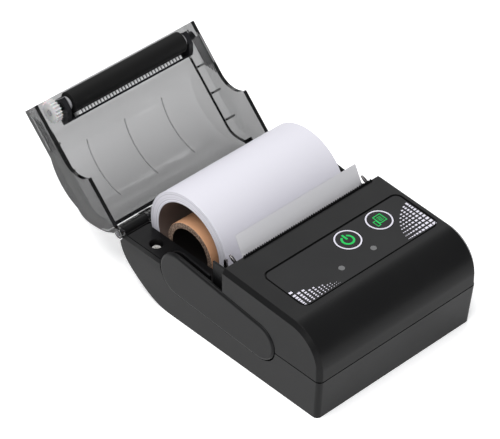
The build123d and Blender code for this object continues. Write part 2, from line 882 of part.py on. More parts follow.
def dome_outline(radius, shoulder_z, sweep):
    """Circle about the roll's axis that flows into the shoulder ahead of it in a curve."""
    front = lid_front_y + 6
    with BuildSketch(mode=Mode.PRIVATE) as outline:
        with Locations((roll_y, roll_z)):
            Circle(radius)
        with Locations(((front + roll_y) / 2, (lid_low_z + shoulder_z) / 2)):
            Rectangle(roll_y - front, shoulder_z - lid_low_z)
        meeting_y = roll_y - sqrt(radius**2 - (shoulder_z - roll_z) ** 2)
        corner = outline.vertices().sort_by_distance((meeting_y, shoulder_z, 0))[0]
        fillet(corner, sweep)
        with Locations((roll_y, lid_low_z + 1.4 - 50)):
            Rectangle(200, 100, mode=Mode.SUBTRACT)
        with Locations((front - 50, 0)):
            Rectangle(100, 200, mode=Mode.SUBTRACT)
    return outline.sketch


def make_lid_cover():
    """Smoked one-piece lid: shoulder, side walls, dome over the roll, ribs and ears."""
    inner_half = half - lid_wall
    dome_inner = roll_radius + dome_clearance
    dome_outer = dome_inner + lid_skin
    with BuildPart() as lid:
        add(prism(lid_outline(), -half, half))
        add(prism(dome_outline(dome_outer, lid_top_z, dome_sweep), -dome_half_width, dome_half_width))
        hollow = block(-inner_half, inner_half, -60, 60, 0, 80)
        add(prism(lid_outline(lid_wall), -inner_half, inner_half), mode=Mode.SUBTRACT)
        add(hollow & block(-60, 60, -60, rear_edge_y - lid_wall, 0, lid_edge_z + 0.6), mode=Mode.SUBTRACT)
        dome_inner_half = dome_half_width - lid_skin
        add(
            prism(
                dome_outline(dome_inner, lid_top_z - lid_wall, dome_sweep + lid_skin),
                -dome_inner_half,
                dome_inner_half,
            ),
            mode=Mode.SUBTRACT,
        )
        # clear the base knuckles, then add the lid's own ears and knuckles
        add(rod(-inner_half, inner_half, hinge_y, hinge_z, knuckle_radius + 0.4), mode=Mode.SUBTRACT)
        for side in (-1, 1):
            for near, far in ((inner_half, half), (lid_knuckle_near, lid_knuckle_far)):
                low, high = sorted((side * near, side * far))
                add(rod(low, high, hinge_y, hinge_z, knuckle_radius))
                add(block(low, high, hinge_y - 2.6, hinge_y - 0.8, hinge_z + 0.6, hinge_z + 3.2))
        add(
            rod(-60, 60, hinge_y, hinge_z, pin_radius + hinge_clearance),
            mode=Mode.SUBTRACT,
        )
        # fine inner ribs of the dome, and stiffeners between dome and wall
        for x in (-18, 0, 18):
            with BuildSketch(Plane(origin=(x - 0.15, 0, 0), x_dir=(0, 1, 0), z_dir=(1, 0, 0))):
                with Locations((roll_y, roll_z)):
                    Circle(dome_inner + 0.3)
                    Circle(dome_inner - 0.4, mode=Mode.SUBTRACT)
                with Locations((roll_y, roll_z - 84)):
                    Rectangle(200, 200, mode=Mode.SUBTRACT)
                with Locations((roll_y - 10 - 50, roll_z)):
                    Rectangle(100, 200, mode=Mode.SUBTRACT)
            extrude(amount=0.3)
        for side in (-1, 1):
            for y in (12.5, 23.4, 34.4):
                low, high = sorted((side * (dome_half_width - 0.5), side * (inner_half + 0.3)))
                add(block(low, high, y - 0.4, y + 0.4, lid_top_z - 4.0, lid_top_z - 1.0))
            for row in range(4):
                low, high = sorted((side * (half - 0.6), side * (half + 1)))
                z = lid_top_z - 2.4 - 1.2 * row
                add(
                    block(low, high, lid_front_y + 2 + 1.2 * row, lid_front_y + 17, z - 0.3, z + 0.3),
                    mode=Mode.SUBTRACT,
                )
    return lid.part


def ear_outline(roof_z):
    """Wedge-shaped end plate that carries the platen shaft and runs back to the lip."""
    with BuildSketch(mode=Mode.PRIVATE) as outline:
        with BuildLine():
            Polyline(
                (platen_y - 2.4, platen_z - 2.2),
                (platen_y + 2.6, platen_z - 2.2),
                (lip_y - 0.6, platen_z),
                (lip_y + 0.7, lip_z),
                (lip_y + 0.7, roof_z),
                (platen_y - 3.0, roof_z),
                close=True,
            )
        make_face()
    return outline.sketch


def make_platen_bracket():
    """Dark channel under the lid's front edge that carries the platen at both ends."""
    low_x = paper_centre_x - bracket_half
    high_x = paper_centre_x + bracket_half
    roof_z = lid_top_z - lid_wall - 0.05
    with BuildPart() as bracket:
        add(block(low_x, high_x, platen_y - 3.0, lip_y + 0.7, roof_z - 0.6, roof_z))
        add(block(low_x, high_x, lip_y, lip_y + 0.7, lip_z, roof_z))
        for side in (-1, 1):
            low, high = sorted(
                (paper_centre_x + side * (bracket_half - 1.9), paper_centre_x + side * bracket_half)
            )
            add(prism(ear_outline(roof_z), low, high))
            add(
                rod(low - 1, high + 1, platen_y, platen_z, shaft_radius + running_clearance),
                mode=Mode.SUBTRACT,
            )
    return bracket.part


def make_guide_strip():
    """White ridged strip that guides the paper just behind the platen."""
    low_x = paper_centre_x - 24.6
    high_x = paper_centre_x + 24.6
    count = 34
    pitch = (high_x - low_x) / count
    with BuildPart() as strip:
        add(block(low_x, high_x, lip_y - 1.4, lip_y - 0.1, platen_z + 0.6, lid_top_z - lid_wall - 0.75))
        for ridge in range(count):
            x = low_x + (ridge + 0.5) * pitch
            add(block(x - 0.35, x + 0.35, lip_y - 1.4, lip_y - 0.1, platen_z + 0.1, platen_z + 0.6))
    return strip.part


def make_end_rings(near, thickness, outer, bore):
    """Pair of rings round the platen shaft, one at each end."""
    with BuildPart() as rings:
        for side in (-1, 1):
            low, high = sorted(
                (paper_centre_x + side * near, paper_centre_x + side * (near + thickness))
            )
            add(rod(low, high, platen_y, platen_z, outer))
        add(rod(-60, 60, platen_y, platen_z, bore), mode=Mode.SUBTRACT)
    return rings.part


def make_platen_roller():
    """Rubber sleeve that presses the paper on the print head."""
    start = paper_centre_x - platen_length / 2
    with BuildPart() as roller:
        add(rod(start, start + platen_length, platen_y, platen_z, platen_radius))
        add(rod(start - 1, start + platen_length + 1, platen_y, platen_z, shaft_radius), mode=Mode.SUBTRACT)
    return roller.part


def make_hinge_pins():
    """Steel pins, fixed in the base knuckles, that the lid's ears turn on."""
    with BuildPart() as pins:
        for side in (-1, 1):
            low, high = sorted((side * (lid_knuckle_near - 0.2), side * (half + 0.15)))
            add(rod(low, high, hinge_y, hinge_z, pin_radius))
    return pins.part


def make_paper_roll():
    """Hollow roll of thermal paper with a small step at its inner turns."""
    start = paper_centre_x - paper_half
    with BuildPart() as roll:
        add(rod(start, start + paper_width, roll_y, roll_z, roll_radius))
        add(rod(start - 1, start + paper_width + 1, roll_y, roll_z, roll_bore_radius), mode=Mode.SUBTRACT)
    return roll.part


def make_paper_core():
    """Loose cardboard core lying in the bottom of the hollow roll."""
    start = paper_centre_x - paper_half
    with BuildPart() as core:
        add(rod(start + 0.1, start + paper_width - 0.1, core_y, core_z, core_radius))
        add(rod(start - 1, start + paper_width + 1, core_y, core_z, core_bore_radius), mode=Mode.SUBTRACT)
    return core.part


def make_paper_web():
    """Free end of the paper: up the ramp, past the print head and out of the slot."""
    start = paper_centre_x - paper_half
    with BuildPart() as web:
        with BuildSketch(Plane(origin=(start, 0, 0), x_dir=(0, 1, 0), z_dir=(1, 0, 0))):
            with BuildLine():
                rise = Vector(ramp_high_y - ramp_low_y, ramp_high_z - ramp_low_z).normalized()
                foot = Vector(ramp_low_y + 0.38, ramp_low_z + 0.42)
                knee = foot + rise * 16
                Line(foot, knee)
                Spline(knee, (-2.5, 31.0), (-1.0, 36.4), (2.2, 42.8), tangents=(rise, (0.5, 1)))
            trace(line_width=paper_thickness)
        extrude(amount=paper_width)
    return web.part


def make_release_button(side):
    """Pillow-faced pad with two headed guide posts that slide in the side rail."""
    post_start = -half + 0.7
    with BuildPart() as button:
        face_x = -(half + button_bulge)
        add(prism(button_outline(), face_x, face_x + button_thickness))
        rim = button.faces().sort_by(Axis.X)[0].edges()
        fillet(rim, button_thickness - 0.4)
        for y, z in guide_posts_at:
            add(rod(post_start, -rail_outer + rail_wall + 0.3, y, z, guide_post_radius))
            head_start = -rail_outer + rail_wall + 0.3
            add(rod(head_start, head_start + 0.5, y, z, guide_post_radius + 0.5))
    return button.part if side < 0 else button.part.mirror(Plane.YZ)


# Gear train on the left side plate: motor pinion, transfer gear, idler, platen gear
motor_at = (motor_y, motor_z)
platen_at = (platen_y, platen_z)
idler_reach = pitch_distance(idler_teeth, platen_teeth)
idler_at = (platen_y - idler_reach * cos(radians(35)), platen_z - idler_reach * sin(radians(35)))
transfer_at = crossing(
    idler_at,
    pitch_distance(idler_teeth, transfer_teeth),
    motor_at,
    pitch_distance(transfer_teeth, pinion_teeth),
)
pinion_phase = facing(motor_at, transfer_at)
transfer_phase = meshed_phase(pinion_teeth, pinion_phase, pinion_phase, transfer_teeth)
idler_phase = meshed_phase(transfer_teeth, transfer_phase, facing(transfer_at, idler_at), idler_teeth)
platen_phase = meshed_phase(idler_teeth, idler_phase, facing(idler_at, platen_at), platen_teeth)

bushing_bore = shaft_radius + running_clearance
shaft_ends = (gear_x - 0.3, paper_centre_x + side_plate_offset + 1.2)
post_bore = post_radius + running_clearance

base_pieces = {
    "lower_housing": make_lower_housing(),
    "upper_housing": make_upper_housing(),
    "keypad_overlay": make_keypad_overlay(),
    "power_key": make_key(power_key_at),
    "feed_key": make_key(feed_key_at),
    "led_pipes": make_led_pipes(),
    "key_switches": make_key_switches(),
    "main_board": make_main_board(),
    "board_components": make_board_components(),
    "radio_module": make_radio_module(),
    "battery_pack": make_battery_pack(),
    "battery_door": make_battery_door(),
    "battery_contacts": make_battery_contacts(),
    "usb_port": make_usb_port(),
    "case_screws": make_case_screws(),
    "bay_frame": make_bay_frame(),
    "bay_screw": make_bay_screw(),
    "tear_bar": make_tear_bar(),
    "mechanism_frame": make_mechanism_frame(),
    "print_head_sink": make_print_head_sink(),
    "print_head_strip": make_print_head_strip(),
    "head_pivot_rod": rod(plate_left, plate_right, head_pivot_y, head_pivot_z, pin_radius),
    "head_springs": make_head_springs(),
    "stepper_motor": make_motor(),
    "motor_pinion": make_motor_pinion(),
    "transfer_gear": gear(transfer_teeth, transfer_phase, *transfer_at, post_bore),
    "idler_gear": gear(idler_teeth, idler_phase, *idler_at, post_bore),
    "gear_posts": make_gear_posts(),
    "gear_cover": make_gear_cover(),
    "paper_sensor": make_paper_sensor(),
    "head_flex": make_head_flex(),
    "hinge_pins": make_hinge_pins(),
    "paper_roll": make_paper_roll(),
    "paper_core": make_paper_core(),
    "paper_web": make_paper_web(),
    "left_release_button": make_release_button(-1),
    "right_release_button": make_release_button(1),
}
lid_pieces = {
    "lid_cover": make_lid_cover(),
    "platen_bracket": make_platen_bracket(),
    "guide_strip": make_guide_strip(),
    "bearing_rings": make_end_rings(27.0, 0.9, 2.6, bushing_bore),
    "platen_bushings": make_end_rings(30.2, 2.4, bushing_radius, bushing_bore),
    "platen_roller": make_platen_roller(),
    "platen_shaft": rod(*shaft_ends, platen_y, platen_z, shaft_radius),
    "platen_gear": gear(platen_teeth, platen_phase, platen_y, platen_z, shaft_radius),
}

os.makedirs("parts", exist_ok=True)
for label, piece in base_pieces.items():
    piece.label = label
    export_step(piece, f"parts/{label}.step")
for label, piece in lid_pieces.items():
    swung = opened(piece)
    swung.label = label
    export_step(swung, f"parts/{label}.step")
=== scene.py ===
import bpy
import bmesh
import json
import math
from mathutils import Matrix, Vector


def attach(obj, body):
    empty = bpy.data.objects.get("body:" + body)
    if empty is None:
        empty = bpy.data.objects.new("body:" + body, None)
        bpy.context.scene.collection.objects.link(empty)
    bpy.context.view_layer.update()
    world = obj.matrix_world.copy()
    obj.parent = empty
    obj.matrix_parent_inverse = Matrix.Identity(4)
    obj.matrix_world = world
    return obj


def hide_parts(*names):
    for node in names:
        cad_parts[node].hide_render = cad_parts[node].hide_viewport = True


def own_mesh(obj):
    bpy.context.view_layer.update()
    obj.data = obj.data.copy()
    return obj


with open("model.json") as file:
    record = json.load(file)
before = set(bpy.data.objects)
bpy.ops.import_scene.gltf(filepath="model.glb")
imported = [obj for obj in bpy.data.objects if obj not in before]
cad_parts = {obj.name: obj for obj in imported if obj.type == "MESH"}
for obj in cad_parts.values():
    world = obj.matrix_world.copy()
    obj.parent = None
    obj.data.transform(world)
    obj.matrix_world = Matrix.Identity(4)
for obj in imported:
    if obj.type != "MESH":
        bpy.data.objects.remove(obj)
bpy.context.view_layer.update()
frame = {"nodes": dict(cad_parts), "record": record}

# Camera and studio
# A long lens looks down on the printer from its left front corner. The printer stands on
# a white table between large soft lamps, with a darker gap in front of it to the right.
camera_data = bpy.data.cameras.new("camera")
camera_data.sensor_width = 36.0
camera_data.lens = 212.3
camera_data.clip_start = 0.05
camera = bpy.data.objects.new("camera", camera_data)
bpy.context.collection.objects.link(camera)
camera_place = Vector((-0.54726, -0.56061, 0.68225))
aimed_at = Vector((-0.00564, 0.01676, 0.02952))
camera.location = camera_place
camera.rotation_euler = (aimed_at - camera_place).to_track_quat("-Z", "Y").to_euler()
bpy.context.scene.camera = camera
bpy.context.scene.view_settings.view_transform = "Standard"

world = bpy.data.worlds.new("studio")
bpy.context.scene.world = world
world.use_nodes = True
sky = world.node_tree.nodes["Background"]
sky.inputs["Color"].default_value = (0.96, 0.97, 1.0, 1)
sky.inputs["Strength"].default_value = 0.39


def soft_lamp(name, place, target, width, height, watts):
    """Large rectangular lamp that faces a point on the table."""
    lamp_data = bpy.data.lights.new(name, "AREA")
    lamp_data.shape = "RECTANGLE"
    lamp_data.size = width
    lamp_data.size_y = height
    lamp_data.energy = watts
    lamp = bpy.data.objects.new(name, lamp_data)
    lamp.location = place
    turn = (Vector(target) - Vector(place)).to_track_quat("-Z", "Y")
    lamp.rotation_euler = turn.to_euler()
    bpy.context.collection.objects.link(lamp)


soft_lamp("lamp_behind_right", (0.75, 0.65, 0.85), (0, 0, 0.02), 0.7, 0.7, 3.0)
soft_lamp("lamp_overhead", (-0.35, 0.05, 1.1), (0, 0, 0), 0.8, 0.6, 9.2)
soft_lamp("lamp_beside_camera", (-0.8, -0.45, 0.75), (0, 0, 0.02), 0.35, 0.5, 2.2)

bpy.ops.mesh.primitive_grid_add(x_subdivisions=8, y_subdivisions=8, size=6.0, location=(0, 0, 0))
table_top = bpy.context.object
table_top.name = "table_top"
table_finish = bpy.data.materials.new("white_table")
table_finish.use_nodes = True
table_shader = table_finish.node_tree.nodes["Principled BSDF"]
table_shader.inputs["Base Color"].default_value = (0.97, 0.97, 0.97, 1)
table_shader.inputs["Roughness"].default_value = 0.8
table_shader.inputs["Specular IOR Level"].default_value = 0.1
table_shader.inputs["Emission Color"].default_value = (1, 1, 1, 1)
table_shader.inputs["Emission Strength"].default_value = 0.42
table_top.data.materials.append(table_finish)


# Upper and lower housing
# Two injection-moulded shells of charcoal plastic with a fine spark-eroded grain. They
# meet at a thin shadow line and are screwed together from below.
def grained_plastic(name, colour, roughness, grain=0.00035, bump=0.035, mottle=0.12, sheen=0.125):
    """Moulded plastic: a fine even grain, with slow changes in gloss from handling."""
    finish = bpy.data.materials.new(name)
    finish.use_nodes = True
    nodes = finish.node_tree.nodes
    links = finish.node_tree.links
    shader = nodes["Principled BSDF"]
    shader.inputs["Specular IOR Level"].default_value = sheen
    place = nodes.new("ShaderNodeTexCoord")
    fine = nodes.new("ShaderNodeTexNoise")
    fine.inputs["Scale"].default_value = 1.0 / grain
    fine.inputs["Detail"].default_value = 2.0
    slow = nodes.new("ShaderNodeTexNoise")
    slow.inputs["Scale"].default_value = 55.0
    slow.inputs["Detail"].default_value = 3.0
    tint = nodes.new("ShaderNodeMix")
    tint.data_type = "RGBA"
    tint.inputs["A"].default_value = (*[c * (1 - mottle) for c in colour], 1)
    tint.inputs["B"].default_value = (*[c * (1 + mottle) for c in colour], 1)
    gloss = nodes.new("ShaderNodeMapRange")
    gloss.inputs["From Min"].default_value = 0.3
    gloss.inputs["From Max"].default_value = 0.7
    gloss.inputs["To Min"].default_value = roughness - 0.04
    gloss.inputs["To Max"].default_value = roughness + 0.04
    relief = nodes.new("ShaderNodeBump")
    relief.inputs["Strength"].default_value = bump * 10
    relief.inputs["Distance"].default_value = 0.00002
    links.new(place.outputs["Object"], fine.inputs["Vector"])
    links.new(place.outputs["Object"], slow.inputs["Vector"])
    links.new(slow.outputs["Fac"], tint.inputs["Factor"])
    links.new(tint.outputs["Result"], shader.inputs["Base Color"])
    links.new(slow.outputs["Fac"], gloss.inputs["Value"])
    links.new(gloss.outputs["Result"], shader.inputs["Roughness"])
    links.new(fine.outputs["Fac"], relief.inputs["Height"])
    links.new(relief.outputs["Normal"], shader.inputs["Normal"])
    return finish


def body_of(node_name):
    """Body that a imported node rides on."""
    groups = frame["record"]["behaviour"]["bodies"]
    return next(body for body, names in groups.items() if node_name in names)


def place_piece(piece, node_name):
    """Puts a finished piece on a node's body, in the node's stead."""
    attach(piece, body_of(node_name))
    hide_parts(node_name)


def moulded(node_name, finish, edge, steps=2, sharp=32):
    """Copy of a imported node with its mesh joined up, its edges rounded and shading smooth."""
    source = frame["nodes"][node_name]
    mesh = source.data.copy()
    mesh.name = node_name + "_skin"
    mesh.materials.clear()
    mesh.materials.append(finish)
    shell = bmesh.new()
    shell.from_mesh(mesh)
    bmesh.ops.remove_doubles(shell, verts=shell.verts, dist=2e-6)
    bmesh.ops.dissolve_limit(
        shell,
        angle_limit=math.radians(0.6),
        verts=shell.verts,
        edges=shell.edges,
        delimit={"NORMAL"},
    )
    for face in shell.faces:
        face.smooth = True
        face.material_index = 0
    shell.to_mesh(mesh)
    shell.free()
    piece = bpy.data.objects.new(node_name + "_skin", mesh)
    bpy.context.collection.objects.link(piece)
    if edge > 0:
        rounding = piece.modifiers.new("rounding", "BEVEL")
        rounding.width = edge
        rounding.segments = steps
        rounding.limit_method = "ANGLE"
        rounding.angle_limit = math.radians(sharp)
        rounding.use_clamp_overlap = True
        rounding.miter_outer = "MITER_ARC"
    weighting = piece.modifiers.new("weighting", "WEIGHTED_NORMAL")
    weighting.keep_sharp = True
    weighting.weight = 80
    cutting = piece.modifiers.new("cutting", "TRIANGULATE")
    cutting.min_vertices = 5
    cutting.keep_custom_normals = True
    place_piece(piece, node_name)
    return piece


def refinished(node_name, finish):
    """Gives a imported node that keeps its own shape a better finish."""
    piece = frame["nodes"][node_name]
    for material_slot in piece.material_slots:
        material_slot.link = "OBJECT"
        material_slot.material = finish


charcoal = grained_plastic("charcoal_grained_plastic", (0.008, 0.008, 0.0082), 0.33)
moulded("upper_housing", charcoal, 0.00035, steps=3)
moulded("lower_housing", charcoal, 0.00022)

# Release pads
# Long pillow-faced pads of the same charcoal plastic, one in each side wall. They slide in
# on two headed posts and are sprung outwards.
pad_plastic = grained_plastic("pad_plastic", (0.0085, 0.0085, 0.0088), 0.32)
moulded("left_release_button", pad_plastic, 0.0002)
moulded("right_release_button", pad_plastic, 0.0002)

# Bay frame
# A duller black moulding that drops into the housing: the paper trough, the side ledges
# and the thin rails that the pads slide in. The gear cover is of the same plastic, and the
# battery door under the base is of the shells' charcoal.
bay_plastic = grained_plastic("bay_plastic", (0.006, 0.006, 0.0065), 0.42)
moulded("bay_frame", bay_plastic, 0.00015)
moulded("gear_cover", bay_plastic, 0.0001, steps=1)
refinished("battery_door", charcoal)

# Tear bar
# A thin serrated strip, moulded from hard black plastic, along the rear edge of the top.
teeth_plastic = grained_plastic("teeth_plastic", (0.006, 0.006, 0.0065), 0.4)
refinished("tear_bar", teeth_plastic)

# Key film
# A matt printed film in the recess of the top. The round keys show through it.
film = grained_plastic(
    "printed_film", (0.019, 0.019, 0.0195), 0.5, grain=0.0002, bump=0.02, sheen=0.15
)
refinished("keypad_overlay", film)
for key in ("power_key", "feed_key"):
    refinished(key, film)

# Clear status pipes
# Two frosted light pipes. The film over them is left clear, so that they look grey.
pipe_finish = grained_plastic("frosted_pipe", (0.15, 0.15, 0.152), 0.4, bump=0.02)
refinished("led_pipes", pipe_finish)

# Smoked lid
# One clear moulding in smoked polycarbonate, a little over a millimetre thick, which looks
# darker wherever it is seen edge on.
smoked = bpy.data.materials.new("smoked_polycarbonate")
smoked.use_nodes = True
smoked_nodes = smoked.node_tree.nodes
smoked_links = smoked.node_tree.links
smoked_shader = smoked_nodes["Principled BSDF"]
smoked_shader.inputs["Base Color"].default_value = (0.80, 0.80, 0.805, 1)
smoked_shader.inputs["Transmission Weight"].default_value = 1.0
smoked_shader.inputs["IOR"].default_value = 1.42
smoked_place = smoked_nodes.new("ShaderNodeTexCoord")
smoked_cloud = smoked_nodes.new("ShaderNodeTexNoise")
smoked_cloud.inputs["Scale"].default_value = 60.0
smoked_rough = smoked_nodes.new("ShaderNodeMapRange")
smoked_rough.inputs["To Min"].default_value = 0.04
smoked_rough.inputs["To Max"].default_value = 0.16
smoked_links.new(smoked_place.outputs["Object"], smoked_cloud.inputs["Vector"])
smoked_links.new(smoked_cloud.outputs["Fac"], smoked_rough.inputs["Value"])
smoked_links.new(smoked_rough.outputs["Result"], smoked_shader.inputs["Roughness"])
smoke_depth = smoked_nodes.new("ShaderNodeVolumeAbsorption")
smoke_depth.inputs["Color"].default_value = (0.0, 0.0, 0.0, 1)
smoke_depth.inputs["Density"].default_value = 620.0
smoked_links.new(smoke_depth.outputs["Volume"], smoked_nodes["Material Output"].inputs["Volume"])
moulded("lid_cover", smoked, 0.00012, steps=1)

# Grip lines on the lid
# Four near-black bars in the shallow grooves at the front of each side wall, which the fingers catch
# when the lid is lifted; the bars are painted shade of the grooves. They are laid out on the shut lid
# and swung open.
hinge_place = Vector((0, 0.0499, 0.0213))
lid_opening = math.radians(134)
swing_open = (
    Matrix.Translation(hinge_place)
    @ Matrix.Rotation(-lid_opening, 4, "X")
    @ Matrix.Translation(-hinge_place)
)
bar_tree = bpy.data.node_groups.new("bar_row", "GeometryNodeTree")
for socket_name, kind in (
    ("Count", "NodeSocketInt"),
    ("Step", "NodeSocketVector"),
    ("Bar Size", "NodeSocketVector"),
    ("Finish", "NodeSocketMaterial"),
):
    bar_tree.interface.new_socket(socket_name, in_out="INPUT", socket_type=kind)
bar_tree.interface.new_socket("Geometry", in_out="OUTPUT", socket_type="NodeSocketGeometry")
bar_nodes = bar_tree.nodes
bar_links = bar_tree.links
bar_given = bar_nodes.new("NodeGroupInput")
bar_line = bar_nodes.new("GeometryNodeMeshLine")
bar_block = bar_nodes.new("GeometryNodeMeshCube")
bar_placed = bar_nodes.new("GeometryNodeInstanceOnPoints")
bar_real = bar_nodes.new("GeometryNodeRealizeInstances")
bar_finished = bar_nodes.new("GeometryNodeSetMaterial")
bar_result = bar_nodes.new("NodeGroupOutput")
bar_links.new(bar_given.outputs["Count"], bar_line.inputs["Count"])
bar_links.new(bar_given.outputs["Step"], bar_line.inputs["Offset"])
bar_links.new(bar_given.outputs["Bar Size"], bar_block.inputs["Size"])
bar_links.new(bar_line.outputs["Mesh"], bar_placed.inputs["Points"])
bar_links.new(bar_block.outputs["Mesh"], bar_placed.inputs["Instance"])
bar_links.new(bar_placed.outputs["Instances"], bar_real.inputs["Geometry"])
bar_links.new(bar_real.outputs["Geometry"], bar_finished.inputs["Geometry"])
bar_links.new(bar_given.outputs["Finish"], bar_finished.inputs["Material"])
bar_links.new(bar_finished.outputs["Geometry"], bar_result.inputs["Geometry"])


def grown_mesh(name, tree, values):
    """Plain mesh that a node tree makes from the given values."""
    seed = bpy.data.objects.new(name + "_seed", bpy.data.meshes.new(name + "_seed"))
    bpy.context.collection.objects.link(seed)
    modifier = seed.modifiers.new("growth", "NODES")
    modifier.node_group = tree
    for item in tree.interface.items_tree:
        if item.in_out == "INPUT" and item.name in values:
            modifier[item.identifier] = values[item.name]
    evaluated = seed.evaluated_get(bpy.context.evaluated_depsgraph_get())
    mesh = bpy.data.meshes.new_from_object(evaluated)
    seed.modifiers.remove(modifier)
    bpy.data.objects.remove(seed)
    mesh.name = name
    return mesh


def bars_on_lid(name, first_middle, values):
    """Row of bars on the lid, given by its first bar's middle on the shut lid."""
    mesh = grown_mesh(name, bar_tree, values)
    mesh.transform(swing_open @ Matrix.Translation(first_middle))
    bars = bpy.data.objects.new(name, mesh)
    bpy.context.collection.objects.link(bars)
    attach(bars, "lid")
    return bars


# Painted shade: near-black bars set into the grip grooves stand for the shade inside them.
groove_shade_plastic = grained_plastic("groove_shade_plastic", (0.02, 0.02, 0.021), 0.3)
groove_shade_rows = {
    "Count": 4,
    "Step": (0, 0.0012, -0.0012),
    "Bar Size": (0.0004, 0.0149, 0.00056),
    "Finish": groove_shade_plastic,
}
for side, name in ((-1, "left_grip_lines"), (1, "right_grip_lines")):
    groove_shade_bars = bars_on_lid(name, (side * 0.03752, 0.00635, 0.0356), groove_shade_rows)
    softening = groove_shade_bars.modifiers.new("softening", "BEVEL")
    softening.width = 0.00012
    softening.segments = 2
    softening.limit_method = "NONE"

# Platen carrier in the lid
# A dark channel with an ear at each end, a white ridged strip along its rear lip with dark bars
# between its ridges that are painted shade of the gaps, and the rings and bushings that the platen
# shaft runs in. The gears are moulded from white nylon.
carrier = grained_plastic("carrier_plastic", (0.016, 0.016, 0.018), 0.28)
moulded("platen_bracket", carrier, 0.0001, steps=1)
refinished("platen_bushings", teeth_plastic)
nylon = grained_plastic("white_nylon", (0.66, 0.66, 0.655), 0.38, bump=0.015, mottle=0.03)
nylon_shader = nylon.node_tree.nodes["Principled BSDF"]
nylon_shader.inputs["Subsurface Weight"].default_value = 0.25
nylon_shader.inputs["Subsurface Scale"].default_value = 0.001
strip_plastic = grained_plastic("strip_plastic", (0.9, 0.9, 0.9), 0.4, bump=0.015, mottle=0.02)
refinished("guide_strip", strip_plastic)
# Painted shade: dark bars on the strip's underside between the ridges stand for the shade in the gaps.
ridge_shade_rows = {
    "Count": 33,
    "Step": (0.001447, 0, 0),
    "Bar Size": (0.0007, 0.0012, 0.00008),
    "Finish": grained_plastic("ridge_gap_shade", (0.09, 0.09, 0.09), 0.5, bump=0.01),
}
bars_on_lid("ridge_gap_shade_bars", (-0.020753, 0.00625, 0.03208), ridge_shade_rows)
ring_plastic = grained_plastic("ring_plastic", (0.32, 0.32, 0.33), 0.3, bump=0.015, mottle=0.05)
moulded("bearing_rings", ring_plastic, 0.0001, steps=1)
for wheel in ("platen_gear", "transfer_gear", "idler_gear"):
    moulded(wheel, nylon, 0.00006, steps=1)

# Platen roller
# A ground rubber sleeve on a steel shaft: matt, with a very fine turned texture.
rubber = grained_plastic(
    "ground_rubber", (0.007, 0.007, 0.007), 0.6, grain=0.00025, bump=0.05, sheen=0.14
)
moulded("platen_roller", rubber, 0.0002)


# Steel pieces
# Turned pins, plated screws, springs, contacts and the socket: bright steel with fine
# drawn lines along it. The print mechanism has a blackened frame, the hinge pins are dark
# and the ledge screw is dull zinc.
def drawn_steel(name, colour, roughness):
    """Plated steel with fine lines along X."""
    finish = bpy.data.materials.new(name)
    finish.use_nodes = True
    nodes = finish.node_tree.nodes
    links = finish.node_tree.links
    shader = nodes["Principled BSDF"]
    shader.inputs["Metallic"].default_value = 1.0
    place = nodes.new("ShaderNodeTexCoord")
    turn = nodes.new("ShaderNodeMapping")
    turn.inputs["Scale"].default_value = (60, 3000, 3000)
    lines = nodes.new("ShaderNodeTexNoise")
    lines.inputs["Scale"].default_value = 1.0
    tint = nodes.new("ShaderNodeMix")
    tint.data_type = "RGBA"
    tint.inputs["A"].default_value = (*[c * 0.85 for c in colour], 1)
    tint.inputs["B"].default_value = (*colour, 1)
    gloss = nodes.new("ShaderNodeMapRange")
    gloss.inputs["To Min"].default_value = roughness - 0.07
    gloss.inputs["To Max"].default_value = roughness + 0.07
    links.new(place.outputs["Object"], turn.inputs["Vector"])
    links.new(turn.outputs["Vector"], lines.inputs["Vector"])
    links.new(lines.outputs["Fac"], tint.inputs["Factor"])
    links.new(tint.outputs["Result"], shader.inputs["Base Color"])
    links.new(lines.outputs["Fac"], gloss.inputs["Value"])
    links.new(gloss.outputs["Result"], shader.inputs["Roughness"])
    return finish


bright_steel = drawn_steel("bright_steel", (0.72, 0.72, 0.74), 0.26)
for name in (
    "case_screws",
    "head_pivot_rod",
    "head_springs",
    "stepper_motor",
    "gear_posts",
    "motor_pinion",
    "platen_shaft",
    "usb_port",
    "battery_contacts",
):
    refinished(name, bright_steel)
dark_steel = drawn_steel("blackened_steel", (0.19, 0.18, 0.18), 0.24)
moulded("mechanism_frame", dark_steel, 0.0001, steps=1)
refinished("hinge_pins", drawn_steel("dark_pin_steel", (0.10, 0.10, 0.11), 0.3))
zinc = drawn_steel("dull_zinc", (0.80, 0.79, 0.76), 0.45)
zinc.node_tree.nodes["Principled BSDF"].inputs["Metallic"].default_value = 0.45
refinished("bay_screw", zinc)
refinished("print_head_sink", drawn_steel("milled_aluminium", (0.6, 0.61, 0.63), 0.35))

# Ceramic strip, sensor and lead
# The heating strip is pale glazed ceramic; the sensor is a small black block; the lead is
# a flat amber film.
refinished("print_head_strip", grained_plastic("glazed_ceramic", (0.62, 0.6, 0.55), 0.25, mottle=0.04))
refinished("paper_sensor", teeth_plastic)
refinished("head_flex", grained_plastic("amber_lead_film", (0.42, 0.2, 0.04), 0.35, mottle=0.08))

# Board and battery
# A green circuit board with black parts on it, a small radio board, and a blue-wrapped
# pair of cells under them.
board_finish = grained_plastic("green_lacquer", (0.01, 0.12, 0.05), 0.3, mottle=0.15)
refinished("main_board", board_finish)
refinished("radio_module", board_finish)
refinished("board_components", teeth_plastic)
refinished("key_switches", teeth_plastic)
refinished("battery_pack", grained_plastic("blue_cell_wrap", (0.03, 0.09, 0.28), 0.3, mottle=0.1))


# Paper roll and its free end
# Thin thermal paper, white with a faint lavender cast, wound hollow. The end faces show the edges of
# the turns as fine rings, and the bore is a dark brown: the brown of the first turns, darkened as
# painted shade inside the bore.
def math_node(nodes, operation, limit=None, slot_number=1):
    """Shader arithmetic with one number set."""
    node = nodes.new("ShaderNodeMath")
    node.operation = operation
    if limit is not None:
        node.inputs[slot_number].default_value = limit
    return node


